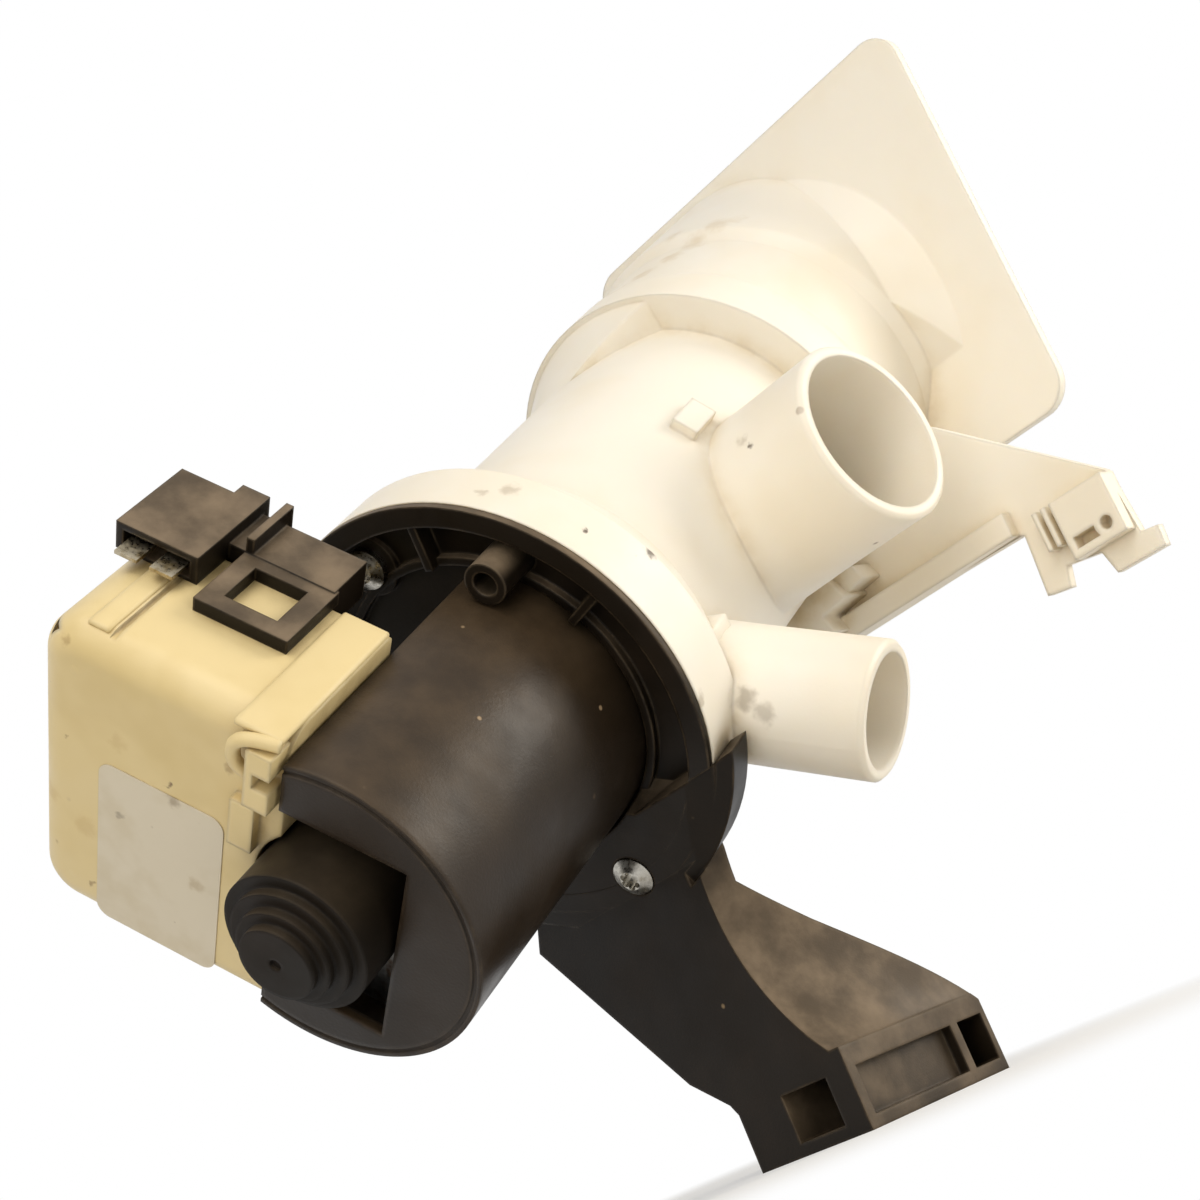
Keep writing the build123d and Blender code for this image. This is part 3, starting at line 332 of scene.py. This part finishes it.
# Coated paper: matt, slightly wavy, and stained in small patches.
label_paper = moulded(
    "coated_label_paper", "#DCD3BF", "#CFC3A8", "#8F7B57", 0.5, ior=1.46, patch_size=12.0, speck="#7A6143",
    speck_size=6.0, speck_share=0.02, grain=2.4, grain_depth=0.25, edge=0.1, marks=LABEL_MARKS)
print("mouldings", len(bpy.data.materials), "the last of them", label_paper.name)

# %% [markdown]
# The metals: zinc on the screws, tin on the tabs, lacquered copper wire, and the sheets of silicon steel
# that make the core. A metal keeps the renderer's own index and gets its look from its colour, a darker
# film in patches, and a fine unevenness of its surface. That unevenness is finer than a tenth of a
# millimetre in life, and is drawn at half a millimetre or more so that it shows.

# %% Metals and magnet
FILM_SIZE = 3.0
UNEVEN_DEPTH = 0.04


def metal(name, colour, stain, roughness, unevenness=0.8, metallic=1.0):
    """A metal with a stained film. Unevenness is the size of its surface's dimples in millimetres."""
    material, tree, shader, place = new_material(name)
    film = node(tree, "ShaderNodeTexNoise", {"Vector": place, "Scale": per(FILM_SIZE), "Detail": 4.0,
                                             "Roughness": CLOUD_ROUGHNESS}, "Fac")
    stained = node(tree, "ShaderNodeMapRange", [film, 0.45, 0.7, 0.0, 1.0], "Result", **SMOOTH)
    tint = node(tree, "ShaderNodeMix", {0: stained, 6: ink(colour), 7: ink(stain)}, 2, **COLOURS)
    tree.links.new(tint, shader.inputs["Base Color"])
    shader.inputs["Metallic"].default_value = metallic
    dimples = node(tree, "ShaderNodeTexNoise", {"Vector": place, "Scale": per(unevenness), "Detail": 3.0,
                                                "Roughness": CLOUD_ROUGHNESS}, "Fac")
    play = node(tree, "ShaderNodeMapRange", [dimples, 0.3, 0.7, roughness - 0.08, roughness + 0.12],
                "Result", **SMOOTH)
    tree.links.new(play, shader.inputs["Roughness"])
    bump = node(tree, "ShaderNodeBump", {"Height": dimples, "Strength": 0.4, "Distance": UNEVEN_DEPTH * MM},
                "Normal")
    tree.links.new(bump, shader.inputs["Normal"])
    return material


# Zinc plate on steel: pale grey and half matt. Tin on brass: the same, but warmer.
zinc_plate = metal("zinc_plated_steel", "#B9B5AC", "#8B8475", 0.3)
tinned_brass = metal("tinned_brass_strip", "#B8AE98", "#8C7C5C", 0.32)
# Ground stainless steel: the brightest of them. Sintered bronze: brown and dull from its pores.
ground_steel = metal("ground_stainless_steel", "#B4B4B2", "#9A9A98", 0.2, unevenness=0.5)
sintered_bronze = metal("sintered_bronze", "#9A7142", "#7A5630", 0.45)
# Sheet steel with a film of rust, copper under red-brown enamel, and ferrite, which is a dark grey ceramic.
core_steel = metal("silicon_steel_laminations", "#7C7A76", "#5E4A38", 0.42, unevenness=0.6)
copper_wire = metal("enamelled_copper_wire", "#B0602E", "#8A4520", 0.3, unevenness=0.5)
ferrite = metal("sintered_ferrite", "#3A3A3C", "#2C2C2E", 0.55, metallic=0.0)
print("materials in all", len(bpy.data.materials))

# %% [markdown]
# Each node of the CAD model gets the material of the real piece. The CAD shapes stay as they are, since
# the moulded radii come from the bevel node.

# %% Dressing the nodes
FINISHES = {
    ivory_polypropylene: ("trap_housing",),
    black_polyamide: ("pump_flange", "terminal_housing"),
    black_polypropylene: ("motor_cover",),
    cream_polyester: ("coil_block",),
    black_rubber: ("rotor_can", "flange_gasket", "can_seal", "rear_cushion", "shaft_seal", "cap_seal"),
    white_acetal: ("bearing_holder", "drive_dog", "impeller", "bobbin_upper", "bobbin_lower"),
    grey_filter: ("filter_basket", "filter_cap"),
    label_paper: ("rating_label",),
    zinc_plate: ("flange_screws",),
    tinned_brass: ("terminal_blades",),
    ground_steel: ("rotor_shaft",),
    sintered_bronze: ("rear_bearing", "front_bearing"),
    core_steel: ("stator_core",),
    copper_wire: ("winding_upper", "winding_lower"),
    ferrite: ("rotor_magnet",),
}


def finish_with(piece, material):
    """Give a piece one material."""
    piece.data.materials.clear()
    piece.data.materials.append(material)


for material, names in FINISHES.items():
    for name in names:
        finish_with(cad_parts[name], material)
print("dressed", sum(len(names) for names in FINISHES.values()), "nodes")

# %% [markdown]
# Small moulded shapes sit on the main ones. Each is either an outline pulled to a height, with a real
# bevel on its edges, or a bent rod. A rod could be swept along straight runs, but a smooth curve with a
# round section has no corners to hide. Each is sunk a little into the piece that carries it, so that the
# two read as one moulding.

# %% Small moulded shapes
BEVEL_STEPS = 3


def add_piece(name, mesh, material, body="pump_body"):
    """Put a mesh in the scene as a piece that rides on a body."""
    piece = bpy.data.objects.new(name, mesh)
    bpy.context.scene.collection.objects.link(piece)
    finish_with(piece, material)
    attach(piece, body)


def pulled(name, where, outline, low, high, material, edge=0.4):
    """An outline in millimetres, pulled from low to high along Z of its frame, with rounded edges."""
    work = bmesh.new()
    base = [work.verts.new(at(where, x, y, low)) for x, y in outline]
    face = work.faces.new(base)
    top = bmesh.ops.extrude_face_region(work, geom=[face])["geom"]
    rise = where.to_3x3() @ Vector((0, 0, (high - low) * MM))
    bmesh.ops.translate(work, verts=[v for v in top if isinstance(v, bmesh.types.BMVert)], vec=rise)
    bmesh.ops.recalc_face_normals(work, faces=work.faces)
    bmesh.ops.bevel(work, geom=work.edges, offset=edge * MM, segments=BEVEL_STEPS, affect="EDGES",
                    profile=0.5)
    for face in work.faces:
        face.smooth = True
    mesh = bpy.data.meshes.new(name)
    work.to_mesh(mesh)
    work.free()
    add_piece(name, mesh, material)


def finger(name, where, points, radius, material):
    """A bent rod of round section through points in millimetres, as one smooth curve."""
    data = bpy.data.curves.new(name, "CURVE")
    data.dimensions = "3D"
    data.bevel_depth = radius * MM
    data.bevel_resolution = 4
    data.use_fill_caps = True
    line = data.splines.new("NURBS")
    line.points.add(len(points) - 1)
    for knot, point in zip(line.points, points):
        knot.co = (*at(where, *point), 1.0)
    line.order_u = 3
    line.use_endpoint_u = True
    line.resolution_u = 10
    curve = bpy.data.objects.new(name, data)
    bpy.context.scene.collection.objects.link(curve)
    finish_with(curve, material)
    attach(curve, "pump_body")


def box_outline(left, right, low, high):
    """The corners of a rectangle."""
    return [(left, low), (right, low), (right, high), (left, high)]


# %% [markdown]
# On the coil block two raised strips run along its top, a finger hooks round its corner with a web beside
# it, and two small loops stand where the coils' leads go in. They are too small to matter to the solids,
# but they catch the light.

# %% On the coil block
STRIP_FOOT = 34.4
HOOK_RADIUS = 1.35
LOOP_RADIUS = 0.95
HOOK_LINE = [(-10.9, -34.4, -56.0), (-15.5, -34.6, -57.4), (-18.8, -33.0, -57.8), (-19.6, -29.0, -57.4),
             (-18.6, -25.6, -56.6), (-14.5, -23.6, -55.4)]
LOOP_LINE = [(-2.2, -34.6, -1.5), (-1.4, -37.0, -0.6), (0.0, -37.6, 0.0), (1.4, -37.0, 0.6),
             (2.2, -34.6, 1.5)]
LOOP_PLACES = [(-58.0, -25.6), (-52.4, -23.0)]
SIDEWAYS = MOTOR @ Matrix.Rotation(radians(90), 4, "X")
pulled("coil_strip_right", SIDEWAYS, box_outline(-20.4, -10.7, -56.4, -21.4), STRIP_FOOT, 35.8,
       cream_polyester, 0.55)
pulled("coil_strip_left", SIDEWAYS, box_outline(-54.6, -50.0, -50.5, -21.4), STRIP_FOOT, 35.5,
       cream_polyester)
finger("coil_hook", MOTOR, HOOK_LINE, HOOK_RADIUS, cream_polyester)
pulled("coil_hook_web", MOTOR, box_outline(-19.0, -11.4, -33.6, -31.0), -56.6, -53.6, cream_polyester, 0.5)
for number, (across, along) in enumerate(LOOP_PLACES):
    finger(f"coil_lead_loop_{number + 1}", MOTOR, [(across + x, y, along + z) for x, y, z in LOOP_LINE],
           LOOP_RADIUS, cream_polyester)
print("on the coil block: two strips, a hook with its web, and", len(LOOP_PLACES), "loops")

# %% [markdown]
# The solid coil block has a small hole at two of its rounded corners, where the hollow for the coils
# meets the rounding. A ball of the same cream moulding sits behind each, nearly as large as the rounding,
# so that the corner looks whole.

# %% Behind the coil block's corners
BALL_RADIUS = 8.7
CORNER_PLACES = [(-54.5, -26.0, -45.4), (-54.5, 26.3, -45.4)]
for number, corner_place in enumerate(CORNER_PLACES):
    work = bmesh.new()
    bmesh.ops.create_icosphere(work, subdivisions=4, radius=BALL_RADIUS * MM)
    bmesh.ops.translate(work, verts=work.verts, vec=at(MOTOR, *corner_place))
    mesh = bpy.data.meshes.new("coil_corner")
    work.to_mesh(mesh)
    work.free()
    mesh.shade_smooth()
    add_piece(f"coil_corner_{number + 1}", mesh, cream_polyester)
print("balls behind the coil block's corners", len(CORNER_PLACES))

# %% [markdown]
# On the housing, two flat gussets stiffen the root of the side arm, and a lug stands beside the inlet.
# The lug has a frame of its own, which looks outwards from the pump's axis.

# %% On the housing
LUG_TURN = -157
pulled("housing_gusset", UPRIGHT,
       [(0.9, 17.4), (-14.3, 17.1), (-17.9, 10.1), (-9.5, 9.1), (-11.1, 4.4), (4.2, 6.0)],
       104.0, 113.2, ivory_polypropylene)
pulled("housing_gusset_rear", UPRIGHT, [(-12.0, 16.4), (-21.4, 16.2), (-23.2, 12.0), (-16.0, 11.2)],
       106.5, 113.2, ivory_polypropylene)
LOZENGE = PUMP @ Matrix.Rotation(radians(LUG_TURN), 4, "Z") @ Matrix.Rotation(radians(90), 4, "Y")
pulled("housing_lug", LOZENGE, box_outline(-33.0, -24.0, -1.8, 1.8), 37.0, 43.6, ivory_polypropylene, 0.5)
print("on the housing: two gussets and a lug")

# %% [markdown]
# The pump stands on a pale floor in soft light. A large lamp to the upper right makes the long highlight
# on the motor cover and lights the foot's flank, one overhead models the housing, and a broad one from
# the camera's side opens the shadows. The floor and the sky are plain white to the camera and in
# reflections; near the foot the floor is real paint in part, so that it takes the shadow.

# %% Floor and sky
FLOOR_HALF = 4.0
FADE_START = 0.05
FADE_END = 0.16
WHITE_AT_FOOT = 0.45
SKY_STRENGTH = 0.3
foot_place = Vector((0.012, 0.09, cad_box[0][2]))
floor_mesh = bpy.data.meshes.new("floor")
floor_mesh.from_pydata([(-FLOOR_HALF, -FLOOR_HALF, 0), (FLOOR_HALF, -FLOOR_HALF, 0),
                        (FLOOR_HALF, FLOOR_HALF, 0), (-FLOOR_HALF, FLOOR_HALF, 0)], [], [(0, 1, 2, 3)])
floor = bpy.data.objects.new("floor", floor_mesh)
floor.location = foot_place
bpy.context.scene.collection.objects.link(floor)


def seen_rays(tree):
    """One for what the camera sees straight, in gloss or through glass."""
    rays = node(tree, "ShaderNodeLightPath").outputs
    straight = node(tree, "ShaderNodeMath", [rays["Is Camera Ray"], rays["Is Glossy Ray"]], "Value",
                    operation="MAXIMUM")
    return node(tree, "ShaderNodeMath", [straight, rays["Is Transmission Ray"]], "Value",
                operation="MAXIMUM")


floor_paint, tree, shader, place = new_material("matt_white_floor")
shader.inputs["Base Color"].default_value = ink("#F2F0EC")
shader.inputs["Roughness"].default_value = 0.9
away = node(tree, "ShaderNodeVectorMath", [place], "Value", operation="LENGTH")
faded = node(tree, "ShaderNodeMapRange", [away, FADE_START, FADE_END, WHITE_AT_FOOT, 1.0], "Result",
             **SMOOTH)
plain = node(tree, "ShaderNodeMath", [faded, seen_rays(tree)], "Value", operation="MULTIPLY")
white = node(tree, "ShaderNodeEmission", {"Color": (1, 1, 1, 1), "Strength": 1.0}, "Emission")
chosen = node(tree, "ShaderNodeMixShader", [plain, shader.outputs["BSDF"], white], "Shader")
paint_output = [n for n in tree.nodes if n.bl_idname == "ShaderNodeOutputMaterial"][0]
tree.links.new(chosen, paint_output.inputs["Surface"])
finish_with(floor, floor_paint)

world = bpy.data.worlds.new("studio")
bpy.context.scene.world = world
world.use_nodes = True
tree = world.node_tree
tree.nodes.clear()
backdrop = node(tree, "ShaderNodeBackground", {"Color": (1, 1, 1, 1), "Strength": 1.0}, "Background")
dim = node(tree, "ShaderNodeBackground", {"Color": (1, 0.97, 0.93, 1), "Strength": SKY_STRENGTH},
           "Background")
shown = node(tree, "ShaderNodeMixShader", [seen_rays(tree), dim, backdrop], "Shader")
node(tree, "ShaderNodeOutputWorld", {"Surface": shown})
print("floor at z =", round(foot_place.z / MM, 1), "mm")

# %% [markdown]
# Lamps are placed by the camera's own right, up and back, so that "upper right" means what it does in the
# picture. Each is a square panel, since a large soft source hides the small facets of the solids.

# %% Lamps
LAMP_TINT = "#FFF8EC"
LAMPS = {
    "key": (0.82, 0.57, 0.0, 0.9, 0.45, 4.3),
    "overhead": (-0.35, 1.0, 0.6, 1.0, 0.6, 4.1),
    "fill": (-0.5, 0.35, 1.0, 1.2, 0.8, 4.2),
}
lit_place = at(PUMP, 0, 0, 40)
for name, (to_right, to_top, to_back, distance, size, power) in LAMPS.items():
    direction = (right * to_right + upward * to_top + back * to_back).normalized()
    data = bpy.data.lights.new(name, "AREA")
    data.size = size
    data.energy = power
    data.color = ink(LAMP_TINT)[:3]
    lamp = bpy.data.objects.new(name, data)
    lamp.location = lit_place + direction * distance
    lamp.rotation_euler = (-direction).to_track_quat("-Z", "Y").to_euler()
    bpy.context.scene.collection.objects.link(lamp)
print("lamps", len(LAMPS), "with", round(sum(values[-1] for values in LAMPS.values()), 1), "watts in all")
